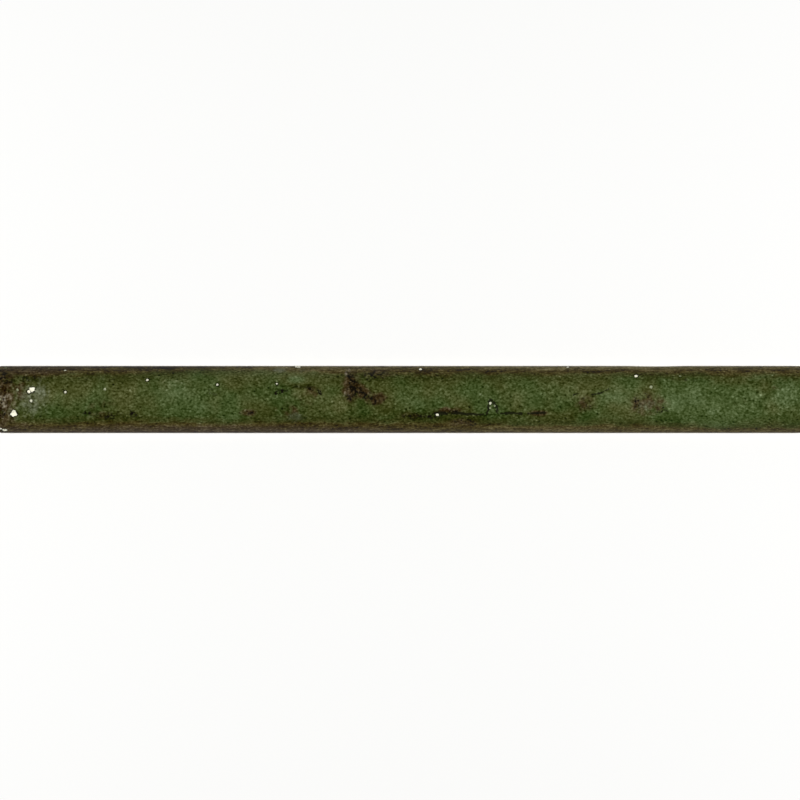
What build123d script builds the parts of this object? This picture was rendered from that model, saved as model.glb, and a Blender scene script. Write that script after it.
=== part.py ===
"""Half-round ceramic moulding tile: one extruded, glazed and fired piece.

The tile lies on its back. X runs along its length, Y across its width and Z from
the back up to the crown. The origin is the middle of the back. Sizes are millimetres.
"""

import os

from build123d import *

# Overall size of the fired tile
TILE_LENGTH = 300.0
TILE_WIDTH = 25.0
TILE_THICKNESS = 13.0

# Section of the face: a straight setting edge, a soft shoulder and the round crown
SETTING_EDGE_HEIGHT = 3.5
SHOULDER_RADIUS = 3.0

# Arrises softened before firing: the long edges of the back, and the face at each end
BACK_ARRIS = 0.6
END_ROUND = 1.1

# Keying grooves that the die draws along the back, for the adhesive to grip
KEY_COUNT = 4
KEY_MOUTH_WIDTH = 2.6
KEY_DEPTH = 0.9
KEY_WALL_ANGLE = 65.0
KEY_EDGE_MARGIN = 5.0

NODE = "moulding_tile"
PARTS_FOLDER = "parts"


def face_section() -> Sketch:
    """The section without its grooves: back, arrises, setting edges, shoulders and crown."""
    half_width = TILE_WIDTH / 2
    with BuildSketch(Plane.YZ) as outline:
        with BuildLine():
            back = Line((0, 0), (half_width - BACK_ARRIS, 0))
            arris = Line(back @ 1, (half_width, BACK_ARRIS))
            setting_edge = Line(arris @ 1, (half_width, SETTING_EDGE_HEIGHT))
            spring = setting_edge @ 1
            ThreePointArc(spring, (0, TILE_THICKNESS), (-spring.X, spring.Y))
            mirror(about=Plane.YZ, objects=[back, arris, setting_edge])
        make_face()
        # The springing points lie furthest out and highest of the corners
        shoulders = outline.vertices().group_by(Axis.Y)[-1]
        fillet(shoulders, radius=SHOULDER_RADIUS)
    return outline.sketch


def groove_section() -> Sketch:
    """The section of the keying grooves, spread evenly between the two edge margins."""
    pitch = (TILE_WIDTH - 2 * KEY_EDGE_MARGIN) / (KEY_COUNT - 1)
    with BuildSketch(Plane.YZ) as grooves:
        with GridLocations(pitch, 1, KEY_COUNT, 1):
            Trapezoid(KEY_MOUTH_WIDTH, KEY_DEPTH, KEY_WALL_ANGLE, align=(Align.CENTER, Align.MIN))
    return grooves.sketch


def moulding_tile() -> Part:
    """The tile cut square to length, its face rounded over at both ends, its back keyed."""
    with BuildPart() as tile:
        extrude(face_section(), amount=TILE_LENGTH / 2, both=True)
        end_edges = tile.faces().filter_by(Axis.X).edges()
        face_arris = end_edges.filter_by(lambda edge: edge.center().Z > BACK_ARRIS)
        fillet(face_arris, radius=END_ROUND)
        extrude(groove_section(), amount=TILE_LENGTH / 2, both=True, mode=Mode.SUBTRACT)
    return tile.part


if __name__ == "__main__":
    os.makedirs(PARTS_FOLDER, exist_ok=True)
    export_step(moulding_tile(), f"{PARTS_FOLDER}/{NODE}.step")
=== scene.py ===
"""Half-round ceramic moulding tile, glazed and fired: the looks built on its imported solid.

One mesh stands for the tile. A node tree draws the section along the length, the face is then
divided finely, and a second tree fires it: ripples, pinholes, chips, swellings and creases.
X runs along the tile, Y across it and Z up from its back. Sizes are millimetres where a field
or an argument says so, and metres in the meshes.
"""

import logging
import math
from collections.abc import Iterable, Sequence
from dataclasses import dataclass
from enum import Enum
from itertools import pairwise

import bmesh
import bpy
import numpy as np
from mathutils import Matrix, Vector


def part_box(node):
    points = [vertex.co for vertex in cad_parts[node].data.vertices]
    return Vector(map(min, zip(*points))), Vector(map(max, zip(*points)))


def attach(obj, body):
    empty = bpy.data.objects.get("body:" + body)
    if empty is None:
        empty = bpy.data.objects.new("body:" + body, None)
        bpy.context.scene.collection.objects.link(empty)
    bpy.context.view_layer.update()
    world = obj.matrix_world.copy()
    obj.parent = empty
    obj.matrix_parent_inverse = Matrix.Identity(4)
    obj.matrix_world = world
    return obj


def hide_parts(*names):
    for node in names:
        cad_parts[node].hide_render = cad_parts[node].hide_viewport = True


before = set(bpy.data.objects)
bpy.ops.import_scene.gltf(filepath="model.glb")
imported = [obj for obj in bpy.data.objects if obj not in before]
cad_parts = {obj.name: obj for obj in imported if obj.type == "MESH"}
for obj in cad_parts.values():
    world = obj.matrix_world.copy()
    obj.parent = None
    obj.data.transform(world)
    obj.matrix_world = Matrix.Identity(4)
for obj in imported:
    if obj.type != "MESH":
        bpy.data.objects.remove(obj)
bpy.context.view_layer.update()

LOG = logging.getLogger("moulding_tile")
MM = 0.001
NODE = "moulding_tile"
BODY = "root"

# A linear colour, a place along and across, and where a ramp starts and where it ends
Colour = tuple[float, float, float, float]
Place = tuple[float, float]
Band = tuple[float, float]


def display(red: int, green: int, blue: int) -> Colour:
    """Turns a display colour into the linear colour that a shader takes.

    Args:
        red: red level, 0 to 255.
        green: green level, 0 to 255.
        blue: blue level, 0 to 255.

    Returns:
        The linear colour, opaque.
    """
    shares = (level / 255 for level in (red, green, blue))
    linear = [s / 12.92 if s <= 0.04045 else ((s + 0.055) / 1.055) ** 2.4 for s in shares]
    return (linear[0], linear[1], linear[2], 1.0)


def divided(start: Place, end: Place, count: int) -> list[Place]:
    """Divides a run into even steps.

    Args:
        start: where the run starts.
        end: where it ends.
        count: how many steps it has.

    Returns:
        Where each step ends.
    """
    return [tuple(np.add(start, np.subtract(end, start) * s / count)) for s in range(1, count + 1)]


class Field:
    """A number that a node tree works out at each point; arithmetic on it adds nodes."""

    def __init__(self, graph: "Graph", socket: bpy.types.NodeSocket) -> None:
        """Wraps an output socket of a graph."""
        self.graph = graph
        self.socket = socket

    def __add__(self, other: "Number") -> "Field":
        """The sum."""
        return self.graph.math("ADD", self, other)

    def __sub__(self, other: "Number") -> "Field":
        """The difference."""
        return self.graph.math("SUBTRACT", self, other)

    def __rsub__(self, other: float) -> "Field":
        """The difference from a plain number."""
        return self.graph.math("SUBTRACT", other, self)

    def __mul__(self, other: "Number") -> "Field":
        """The product."""
        return self.graph.math("MULTIPLY", self, other)

    def __truediv__(self, other: "Number") -> "Field":
        """The quotient."""
        return self.graph.math("DIVIDE", self, other)

    def __rtruediv__(self, other: float) -> "Field":
        """A plain number divided by the field."""
        return self.graph.math("DIVIDE", other, self)

    __radd__ = __add__
    __rmul__ = __mul__

    def __abs__(self) -> "Field":
        """The size without its sign."""
        return self.graph.math("ABSOLUTE", self)

    def least(self, other: "Number") -> "Field":
        """The smaller of the two."""
        return self.graph.math("MINIMUM", self, other)

    def most(self, other: "Number") -> "Field":
        """The larger of the two."""
        return self.graph.math("MAXIMUM", self, other)

    def ramp(self, start: "Number", end: "Number", low: float = 0.0, high: float = 1.0) -> "Field":
        """Eases from one level to another while the field goes from start to end.

        Args:
            start: value of the field where the ramp leaves low.
            end: value of the field where the ramp reaches high; it may lie below start.
            low: level before start.
            high: level past end.

        Returns:
            The eased level.
        """
        inputs = {"Value": self, "From Min": start, "From Max": end, "To Min": low, "To Max": high}
        node = self.graph.node("ShaderNodeMapRange", inputs, interpolation_type="SMOOTHSTEP")
        return Field(self.graph, node.outputs[0])


Number = Field | float
Input = Field | bpy.types.NodeSocket | float | Sequence[float]


class Graph:
    """A node tree being wired, with one short call for each kind of node in use."""

    def __init__(self, tree: bpy.types.NodeTree) -> None:
        """Takes the tree that the nodes go into."""
        self.tree = tree

    def feed(self, socket: bpy.types.NodeSocket, value: Input) -> None:
        """Links a socket to an output, or sets its own value.

        Args:
            socket: input socket of a node.
            value: a field, an output socket or a plain value.
        """
        if isinstance(value, Field):
            value = value.socket
        if isinstance(value, bpy.types.NodeSocket):
            self.tree.links.new(value, socket)
        else:
            socket.default_value = value

    def node(
        self, kind: str, inputs: dict[str | int, Input] | None = None, **settings: str
    ) -> bpy.types.Node:
        """Adds a node.

        Args:
            kind: the node's type name.
            inputs: what its input sockets get, by name or place.
            **settings: properties of the node.

        Returns:
            The node.
        """
        made = self.tree.nodes.new(kind)
        for name, setting in settings.items():
            setattr(made, name, setting)
        for key, value in (inputs or {}).items():
            self.feed(made.inputs[key], value)
        return made

    def math(self, operation: str, *values: Number) -> Field:
        """Adds a Math node.

        Args:
            operation: what the node does.
            *values: its operands, in order.

        Returns:
            The result.
        """
        node = self.node("ShaderNodeMath", dict(enumerate(values)), operation=operation)
        return Field(self, node.outputs[0])

    def split(self, vector: Input) -> tuple[Field, Field, Field]:
        """The three parts of a vector."""
        node = self.node("ShaderNodeSeparateXYZ", {0: vector})
        return Field(self, node.outputs[0]), Field(self, node.outputs[1]), Field(self, node.outputs[2])

    def joined(self, x: Number, y: Number, z: Number) -> bpy.types.NodeSocket:
        """A vector from its three parts."""
        return self.node("ShaderNodeCombineXYZ", {0: x, 1: y, 2: z}).outputs[0]

    def scaled(self, vector: Input, factor: Number) -> bpy.types.NodeSocket:
        """A vector or colour times a number."""
        node = self.node("ShaderNodeVectorMath", {0: vector, "Scale": factor}, operation="SCALE")
        return node.outputs[0]

    def stretched(self, vector: Input, x: float, y: float, z: float) -> bpy.types.NodeSocket:
        """A vector whose three parts are each multiplied by a number of their own."""
        node = self.node("ShaderNodeVectorMath", {0: vector, 1: (x, y, z)}, operation="MULTIPLY")
        return node.outputs[0]

    def noise(self, at: Input, size: Number, seed: Number, detail: float = 2.0, rough: float = 0.5) -> Field:
        """A cloudy noise from 0 to 1 about a middle of 0.5.

        Args:
            at: where the noise is read, in the same unit as size.
            size: spacing of its lumps.
            seed: fixed number that tells one noise from another.
            detail: how many finer layers are added.
            rough: how strong each finer layer is against the one before.

        Returns:
            The noise.
        """
        inputs = {"Vector": self.scaled(at, 1 / size), "W": seed, "Scale": 1.0}
        inputs |= {"Detail": detail, "Roughness": rough}
        node = self.node("ShaderNodeTexNoise", inputs, noise_dimensions="4D")
        return Field(self, node.outputs[0])

    def blend(self, share: Number, first: Input, second: Input) -> bpy.types.NodeSocket:
        """A colour that goes from the first to the second as share goes from 0 to 1."""
        inputs = {"Factor": share, 6: first, 7: second}
        return self.node("ShaderNodeMix", inputs, data_type="RGBA").outputs[2]


class Kind(Enum):
    """What a named input of a geometry tree holds."""

    GEOMETRY = "NodeSocketGeometry"
    LENGTH = "NodeSocketFloat"
    COUNT = "NodeSocketInt"
    PIECE = "NodeSocketObject"
    FINISH = "NodeSocketMaterial"


class GeometryTree(Graph):
    """A geometry node tree with named inputs, which is run once on an object."""

    def __init__(self, name: str) -> None:
        """Starts a tree with one geometry input and one geometry output.

        Args:
            name: the tree's name.
        """
        super().__init__(bpy.data.node_groups.new(name, "GeometryNodeTree"))
        self.given = self.node("NodeGroupInput")
        self.keys: dict[str, str] = {}
        self.tree.interface.new_socket("Geometry", in_out="OUTPUT", socket_type=Kind.GEOMETRY.value)
        self.geometry = self.ask("Geometry", Kind.GEOMETRY).socket

    def ask(self, name: str, kind: Kind = Kind.LENGTH) -> Field:
        """Adds a named input.

        Args:
            name: the input's name.
            kind: what it holds.

        Returns:
            The input's value inside the tree.
        """
        item = self.tree.interface.new_socket(name, in_out="INPUT", socket_type=kind.value)
        self.keys[name] = item.identifier
        socket = next(s for s in self.given.outputs if s.identifier == item.identifier)
        return Field(self, socket)

    def position(self) -> bpy.types.NodeSocket:
        """Where each point lies."""
        return self.node("GeometryNodeInputPosition").outputs[0]

    def named(self, name: str) -> Field:
        """A number that the points carry under a name."""
        node = self.node("GeometryNodeInputNamedAttribute", {"Name": name}, data_type="FLOAT")
        return Field(self, node.outputs[0])

    def store(self, geometry: Input, name: str, value: Field) -> bpy.types.NodeSocket:
        """Writes a number on the points.

        Args:
            geometry: what has the points.
            name: what the number is called.
            value: the number.

        Returns:
            The geometry with the number on it.
        """
        inputs = {"Geometry": geometry, "Name": name, "Value": value}
        kept = self.node("GeometryNodeStoreNamedAttribute", inputs, data_type="FLOAT", domain="POINT")
        return kept.outputs[0]

    def piece(self, source: Field) -> bpy.types.NodeSocket:
        """The geometry of an object that an input names."""
        return self.node("GeometryNodeObjectInfo", {"Object": source}).outputs["Geometry"]

    def sampled(
        self, geometry: Input, value: Input, index: Input, kind: str = "FLOAT"
    ) -> bpy.types.NodeSocket:
        """Reads a value at one numbered point of another geometry.

        Args:
            geometry: what is read.
            value: the value there.
            index: number of the point.
            kind: data type of the value.

        Returns:
            The value that was read.
        """
        inputs = {"Geometry": geometry, "Value": value, "Index": index}
        return self.node("GeometryNodeSampleIndex", inputs, data_type=kind, domain="POINT").outputs[0]

    def close(self, geometry: Input, finish: Field) -> None:
        """Ends the tree: smooth faces, instances made real, and the finish on every face.

        Args:
            geometry: what comes out of the tree.
            finish: the input that holds the finish.
        """
        smooth = self.node("GeometryNodeSetShadeSmooth", {"Geometry": geometry}).outputs[0]
        real = self.node("GeometryNodeRealizeInstances", {"Geometry": smooth}).outputs[0]
        dressed = self.node("GeometryNodeSetMaterial", {"Geometry": real, "Material": finish}).outputs[0]
        self.node("NodeGroupOutput", {0: dressed})

    def run(self, piece: bpy.types.Object, inputs: dict[str, object]) -> bpy.types.Mesh:
        """Runs the tree on an object, and leaves the object without the modifier.

        Args:
            piece: the object whose mesh goes in.
            inputs: values of the named inputs.

        Returns:
            The mesh that comes out.
        """
        modifier = piece.modifiers.new(self.tree.name, "NODES")
        modifier.node_group = self.tree
        for name, value in inputs.items():
            modifier[self.keys[name]] = value
        depsgraph = bpy.context.evaluated_depsgraph_get()
        evaluated = piece.evaluated_get(depsgraph)
        mesh = bpy.data.meshes.new_from_object(evaluated, preserve_all_data_layers=True, depsgraph=depsgraph)
        piece.modifiers.remove(modifier)
        return mesh


@dataclass(frozen=True)
class Mark:
    """A round fault of the glaze, in millimetres: a pinhole, a chip, a sag or, below zero depth, a blister.

    Body is how much of the fired body shows in it, from 0, none, to 1, clean white.
    """

    along: float
    across: float
    radius: float
    depth: float
    body: float = 1.0


class Tint(Enum):
    """What a stain does to the glaze.

    Scorch burns it black and umber turns it russet. Bloom makes it milky, verdant greener and haze grey.
    The ash tint pales it: ashy grey by the blotch, and swirls of painted reflection at the left end.
    Flood keeps the brown of the flanks back. Pale and shade lighten and darken it, and along the edges
    they are painted sheen and painted shade. Coarse roughens its mottle.
    """

    SCORCH = "scorch"
    UMBER = "umber"
    BLOOM = "bloom"
    FLOOD = "flood"
    PALE = "pale"
    SHADE = "shade"
    VERDANT = "verdant"
    ASH_AND_GLINT = "ash"
    HAZE = "haze"
    COARSE = "coarse"


@dataclass(frozen=True)
class Stain:
    """A soft patch on the face, in millimetres: an ellipse that fades out past its half sizes."""

    tint: Tint
    along: float
    across: float
    half_length: float
    half_width: float
    strength: float = 1.0
    tilt_deg: float = 0.0

    def strength_at(self, points: np.ndarray) -> np.ndarray:
        """Works out how strong the stain is at each of many points.

        Args:
            points: the points in millimetres, one to a row.

        Returns:
            The strengths.
        """
        turn = math.radians(self.tilt_deg)
        along, across = points[:, 0] - self.along, points[:, 1] - self.across
        major = (along * math.cos(turn) + across * math.sin(turn)) / self.half_length
        minor = (across * math.cos(turn) - along * math.sin(turn)) / self.half_width
        return self.strength * np.exp(-(major**2) - minor**2)


@dataclass(frozen=True)
class Crease:
    """A fine line where the glaze drew apart: places along and across, in millimetres.

    Faintness is what the line loses of its half width, and step the longest run between its points.
    """

    places: tuple[Place, ...]
    faintness: float = 0.0
    step: float = 0.5

    def line(self) -> list[Place]:
        """Divides the runs of the line.

        Returns:
            Its places, and points between them.
        """
        line = [self.places[0]]
        for start, end in pairwise(self.places):
            line += divided(start, end, max(1, math.ceil(math.dist(start, end) / self.step)))
        return line


# Pinholes and chips: those near the left end, then the rest from left to right
PINHOLES = (
    Mark(-138.5, 2.9, 0.65, 0.35),
    Mark(-137.4, 3.7, 0.95, 0.45),
    Mark(-144.1, -5.3, 1.15, 0.50),
    Mark(-147.7, -11.5, 0.95, 0.40, 0.75),
    Mark(-147.3, 11.9, 0.50, 0.20, 0.25),
    Mark(-142.7, 3.7, 0.52, 0.18, 0.40),
    Mark(-137.6, -0.5, 0.52, 0.18, 0.65),
    Mark(-135.7, -0.4, 0.40, 0.12, 0.15),
    Mark(-131.2, 11.8, 0.35, 0.12, 0.18),
    Mark(-125.1, 11.0, 0.40, 0.20, 0.70),
    Mark(-124.9, 2.8, 0.46, 0.25, 0.70),
    Mark(-110.2, 3.9, 0.52, 0.22, 0.50),
    Mark(-94.4, 7.3, 0.52, 0.30, 0.80),
    Mark(-87.1, 3.5, 0.35, 0.10, 0.12),
    Mark(-81.5, 6.2, 0.35, 0.10, 0.12),
    Mark(-68.2, 5.6, 0.46, 0.28, 0.75),
    Mark(-46.0, 6.0, 0.46, 0.25, 0.70),
    Mark(-38.4, 12.3, 1.00, 0.55),
    Mark(7.5, 11.4, 0.62, 0.30),
    Mark(13.8, -5.7, 0.48, 0.30, 0.85),
    Mark(29.7, 1.9, 0.40, 0.10, 0.15),
    Mark(33.6, -1.4, 0.55, 0.20, 0.65),
    Mark(35.2, -2.4, 0.42, 0.14, 0.40),
    Mark(33.4, -3.2, 0.42, 0.14, 0.40),
    Mark(62.5, 12.2, 0.60, 0.30, 0.85),
    Mark(87.9, 8.8, 0.66, 0.35),
    Mark(93.4, 4.6, 0.60, 0.15, 0.45),
    Mark(104.2, 8.8, 0.45, 0.10, 0.25),
    Mark(138.7, 9.1, 0.40, 0.10, 0.15),
    # Worn arris of the left end
    Mark(-149.3, 0.1, 0.50, 0.15, 0.10),
    Mark(-149.2, -11.0, 0.60, 0.20, 0.70),
)

# The blister on the lower face, and the long sag of the upper edge
SWELLINGS = (
    Mark(34.3, -3.0, 2.4, -0.12, 0.0),
    Mark(95.6, 13.5, 12.0, 0.18, 0.0),
)

STAINS = (
    # Dark brown left end, pale swirls of painted reflection below its middle, brown run along its upper edge
    Stain(Tint.SCORCH, -149.4, 8.0, 5.5, 6.0, 0.95),
    Stain(Tint.SCORCH, -149.4, -1.0, 4.5, 9.0, 0.72),
    Stain(Tint.SCORCH, -145.9, 6.5, 3.0, 2.5, 0.75),
    Stain(Tint.SCORCH, -148.2, -5.6, 2.6, 2.0, 0.95),
    Stain(Tint.SCORCH, -137.9, 7.8, 8.0, 1.8, 0.68),
    Stain(Tint.UMBER, -149.4, 0.0, 7.5, 16.0, 1.0),
    Stain(Tint.UMBER, -137.4, 11.5, 16.0, 3.0, 1.0),
    Stain(Tint.UMBER, -143.4, -10.5, 8.0, 3.0, 0.7),
    Stain(Tint.UMBER, -141.4, 3.0, 3.5, 5.0, 0.75),
    # Painted reflection: pale grey swirls below the middle of the left end
    Stain(Tint.ASH_AND_GLINT, -147.9, -2.0, 5.5, 5.5, 0.74),
    Stain(Tint.HAZE, -136.9, 0.5, 8.0, 8.0, 0.6),
    Stain(Tint.HAZE, -134.7, 2.8, 5.0, 4.5, 0.7),
    Stain(Tint.HAZE, -137.9, -2.5, 6.5, 4.2, 0.66),
    Stain(Tint.COARSE, -149.4, 3.0, 7.0, 12.0, 1.2),
    Stain(Tint.COARSE, -138.4, 7.5, 8.0, 2.5, 0.9),
    Stain(Tint.COARSE, -138.4, 0.0, 8.5, 7.0, 0.6),
    # Brown-black blotch, slanting down across the face
    Stain(Tint.SCORCH, -18.2, 7.4, 3.8, 2.2, 1.2, -58.0),
    Stain(Tint.SCORCH, -17.2, 4.2, 3.6, 2.9, 1.3, -60.0),
    Stain(Tint.SCORCH, -18.8, 0.9, 3.2, 1.8, 1.0),
    Stain(Tint.SCORCH, -13.7, 2.0, 3.6, 2.3, 1.15, -25.0),
    Stain(Tint.SCORCH, -9.0, 0.0, 3.8, 2.4, 1.02, 10.0),
    Stain(Tint.SCORCH, -9.9, 9.2, 5.5, 2.6, 1.0),
    Stain(Tint.UMBER, -18.2, 4.6, 3.8, 6.0, 1.2),
    Stain(Tint.UMBER, -8.7, 0.4, 4.0, 3.0, 1.0, 10.0),
    Stain(Tint.UMBER, -14.4, 3.0, 5.5, 3.2, 1.1, -30.0),
    Stain(Tint.UMBER, -8.4, 10.2, 9.0, 3.2, 0.6),
    Stain(Tint.UMBER, -35.4, 0.0, 26.0, 9.0, 0.35),
    Stain(Tint.ASH_AND_GLINT, -19.6, 2.6, 2.4, 2.6, 0.6),
    Stain(Tint.ASH_AND_GLINT, -19.6, 10.3, 1.4, 2.2, 0.8),
    Stain(Tint.SHADE, -16.8, 4.2, 5.0, 4.0, 0.7, -50.0),
    Stain(Tint.SHADE, -8.7, 0.0, 4.0, 2.6, 0.4),
    Stain(Tint.COARSE, -16.4, 4.0, 7.0, 6.0, 0.6),
    # Russet run along the lower edge and, at the left, the upper one
    Stain(Tint.UMBER, -74.4, -12.3, 85.0, 3.0, 1.1),
    Stain(Tint.UMBER, -131.4, 12.3, 24.0, 2.4, 0.9),
    # Dark drag that leads to the long crease, and its brown smear
    Stain(Tint.SCORCH, 5.6, -6.2, 9.0, 1.8, 0.8),
    Stain(Tint.SCORCH, 12.6, -5.4, 3.0, 1.0, 0.9),
    Stain(Tint.SCORCH, 10.4, -6.6, 4.6, 1.2, 1.1),
    Stain(Tint.SCORCH, 18.8, -4.9, 5.5, 1.0, 1.35),
    Stain(Tint.SCORCH, 24.0, -8.0, 5.5, 1.6, 0.85),
    Stain(Tint.SCORCH, 26.9, -9.5, 3.2, 1.0, 0.9),
    Stain(Tint.SCORCH, 51.1, -5.1, 3.0, 0.7, 0.95),
    Stain(Tint.UMBER, 17.8, -4.0, 6.5, 1.6, 0.8),
    Stain(Tint.UMBER, 5.0, -6.2, 9.0, 2.4, 0.5),
    Stain(Tint.UMBER, 22.6, -8.6, 7.0, 2.0, 0.7),
    Stain(Tint.UMBER, 51.1, -5.0, 4.0, 1.4, 1.0),
    # Dark flecks near the left end, and round a pinhole further on
    Stain(Tint.SCORCH, -70.0, 2.8, 3.6, 2.0, 0.8),
    Stain(Tint.SCORCH, -109.1, -5.6, 11.0, 1.8, 0.72),
    Stain(Tint.SCORCH, -116.9, -5.0, 2.2, 1.2, 1.1),
    Stain(Tint.SCORCH, -108.5, -6.7, 2.2, 1.1, 1.25),
    Stain(Tint.SCORCH, -99.6, -5.3, 2.0, 1.4, 1.3),
    Stain(Tint.UMBER, -112.4, -5.6, 9.0, 2.6, 0.55),
    Stain(Tint.SCORCH, -111.4, 7.8, 14.0, 1.5, 0.6),
    Stain(Tint.SCORCH, -95.4, 11.3, 14.0, 1.2, 0.65),
    # Streak near the right end
    Stain(Tint.SCORCH, 104.3, 7.5, 15.0, 0.9, 0.55),
    Stain(Tint.SCORCH, 109.9, 7.3, 1.5, 0.5, 0.85, 50.0),
    # Brown patches with dark specks, towards the right end
    Stain(Tint.UMBER, 68.6, -1.6, 6.0, 5.0, 0.62),
    Stain(Tint.SCORCH, 68.9, -2.2, 4.2, 4.0, 0.68),
    Stain(Tint.UMBER, 92.1, -1.6, 9.0, 5.5, 0.72),
    Stain(Tint.HAZE, 92.1, -2.2, 5.0, 3.4, 0.5),
    Stain(Tint.SCORCH, 88.1, -1.8, 2.4, 4.4, 0.86),
    Stain(Tint.SCORCH, 92.1, 1.6, 3.8, 1.8, 0.7),
    Stain(Tint.SCORCH, 97.6, -4.0, 3.6, 1.8, 0.88),
    Stain(Tint.UMBER, 139.8, 4.3, 3.6, 1.8, 0.4),
    Stain(Tint.UMBER, 127.6, -1.5, 6.0, 3.0, 0.35),
    # Grey bar on the upper face, the dark stroke before it and the brown specks after it
    Stain(Tint.SCORCH, -44.8, 2.9, 3.0, 0.9, 1.6, 15.0),
    Stain(Tint.SHADE, -44.4, 2.8, 2.6, 0.9, 1.2, 15.0),
    Stain(Tint.SHADE, -39.2, 4.9, 4.5, 0.7, 1.7),
    Stain(Tint.HAZE, -39.0, 4.9, 4.5, 1.0, 0.4),
    Stain(Tint.SHADE, -34.0, 5.4, 2.2, 0.5, 1.3),
    Stain(Tint.UMBER, -33.0, 2.8, 5.0, 3.0, 0.6),
    Stain(Tint.SCORCH, -33.4, 4.4, 5.0, 1.6, 0.7),
    Stain(Tint.SCORCH, -33.7, 3.5, 1.1, 0.6, 1.9, -45.0),
    Stain(Tint.SCORCH, -30.2, 2.6, 1.3, 0.7, 1.9, -45.0),
    # Brown smudge on the lower face
    Stain(Tint.UMBER, -56.6, -5.0, 4.0, 1.6, 0.85),
    Stain(Tint.SCORCH, -56.6, -5.0, 4.0, 1.2, 0.95),
    # Olive stretches of the lower face
    Stain(Tint.UMBER, -112.0, -2.0, 8.0, 3.5, 0.5),
    Stain(Tint.UMBER, -40.5, -4.2, 10.0, 4.5, 0.55),
    # Milky and blue-green blooms
    Stain(Tint.BLOOM, -83.4, 4.0, 9.0, 6.0, 0.7),
    Stain(Tint.BLOOM, -72.5, -2.8, 7.0, 3.2, 0.5),
    Stain(Tint.BLOOM, -57.2, 0.8, 3.6, 2.6, 0.4),
    Stain(Tint.BLOOM, -39.0, 7.4, 4.5, 1.8, 0.8),
    Stain(Tint.HAZE, -38.8, -6.6, 3.6, 2.0, 0.75),
    Stain(Tint.HAZE, -44.9, 11.0, 3.0, 1.3, 0.7),
    Stain(Tint.HAZE, -37.4, 10.8, 5.0, 1.2, 0.4),
    Stain(Tint.BLOOM, 5.5, -1.3, 6.5, 2.2, 0.4),
    Stain(Tint.BLOOM, 80.6, 1.0, 6.5, 4.0, 0.7),
    Stain(Tint.BLOOM, 102.5, -0.9, 5.0, 4.5, 0.7),
    Stain(Tint.BLOOM, 116.3, -4.3, 4.0, 2.0, 0.5),
    Stain(Tint.BLOOM, 109.1, 0.5, 6.0, 5.0, 0.55),
    Stain(Tint.BLOOM, 143.5, 2.4, 6.0, 5.5, 0.7),
    # Greener stretches
    Stain(Tint.VERDANT, -67.4, -1.0, 24.0, 8.0, 0.5),
    Stain(Tint.VERDANT, -52.4, 2.5, 9.0, 7.0, 0.8),
    Stain(Tint.VERDANT, 7.3, 0.5, 8.0, 6.0, 0.6),
    Stain(Tint.VERDANT, 25.6, 1.0, 26.0, 8.0, 0.2),
    Stain(Tint.VERDANT, 38.0, 0.0, 8.0, 6.0, 0.65),
    Stain(Tint.VERDANT, 52.1, 0.5, 11.0, 7.0, 0.8),
    Stain(Tint.VERDANT, 125.6, -2.0, 32.0, 10.0, 1.2),
    Stain(Tint.VERDANT, 108.6, 0.5, 8.0, 7.0, 1.6),
    # Thick glaze that keeps the brown back: along the upper edge, and on the lower edge to the right
    Stain(Tint.FLOOD, -63.4, 10.5, 34.0, 4.0, 0.8),
    Stain(Tint.FLOOD, 60.6, 10.5, 30.0, 4.0, 0.2),
    Stain(Tint.FLOOD, 130.6, -10.0, 45.0, 5.0, 1.0),
    Stain(Tint.FLOOD, 54.6, -9.2, 22.0, 2.6, 0.6),
    # Lighter stretches, and light lines along the edges; the line along the upper rim is painted sheen
    Stain(Tint.PALE, -39.4, 11.3, 24.0, 3.2, 0.8),
    Stain(Tint.PALE, 115.6, -7.0, 45.0, 6.0, 0.4),
    Stain(Tint.PALE, 112.6, -1.0, 45.0, 7.0, 0.3),
    Stain(Tint.PALE, 65.6, 1.2, 9.0, 2.6, 0.5),
    Stain(Tint.PALE, 131.6, 9.4, 20.0, 2.0, 0.45),
    # Painted sheen along the upper rim, where the arris catches the light
    Stain(Tint.PALE, 80.6, 12.3, 80.0, 1.1, 1.4),
    Stain(Tint.PALE, 62.6, 9.0, 30.0, 0.9, 0.5),
    Stain(Tint.PALE, 55.6, -10.5, 22.0, 1.8, 0.7),
    Stain(Tint.PALE, -82.4, -8.2, 14.0, 1.6, 0.45),
    Stain(Tint.PALE, -65.4, -9.7, 10.0, 1.4, 0.5),
    Stain(Tint.PALE, -9.4, -8.7, 45.0, 0.9, 0.4),
    Stain(Tint.PALE, 138.6, -10.6, 14.0, 1.8, 0.5),
    # Darker stretches of the face
    Stain(Tint.SHADE, -147.4, 9.0, 9.0, 6.0, 0.6),
    Stain(Tint.SHADE, -148.4, -5.6, 3.0, 2.4, 0.45),
    Stain(Tint.SHADE, -141.6, 3.0, 2.6, 3.4, 0.45),
    Stain(Tint.SHADE, -137.4, 11.2, 10.0, 2.2, 0.6),
    Stain(Tint.SHADE, -111.4, -5.5, 24.0, 3.0, 0.45),
    Stain(Tint.SHADE, -51.4, 4.0, 10.0, 3.0, 0.35),
    Stain(Tint.SHADE, -39.4, -4.0, 16.0, 4.0, 0.4),
    Stain(Tint.SHADE, -38.6, -7.0, 4.0, 2.0, 0.8),
    Stain(Tint.SHADE, -9.4, -3.0, 9.0, 9.0, 0.6),
    Stain(Tint.SHADE, 5.6, 8.0, 26.0, 3.0, 0.35),
    Stain(Tint.SHADE, 5.6, -6.0, 9.0, 2.2, 1.1),
    Stain(Tint.SHADE, 19.3, -5.2, 7.0, 1.0, 0.9),
    Stain(Tint.SHADE, 20.6, -6.0, 34.0, 3.0, 0.5),
    Stain(Tint.SHADE, 32.6, -5.6, 5.0, 0.8, 1.2),
    Stain(Tint.SHADE, 64.6, -3.5, 11.0, 4.5, 0.6),
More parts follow.
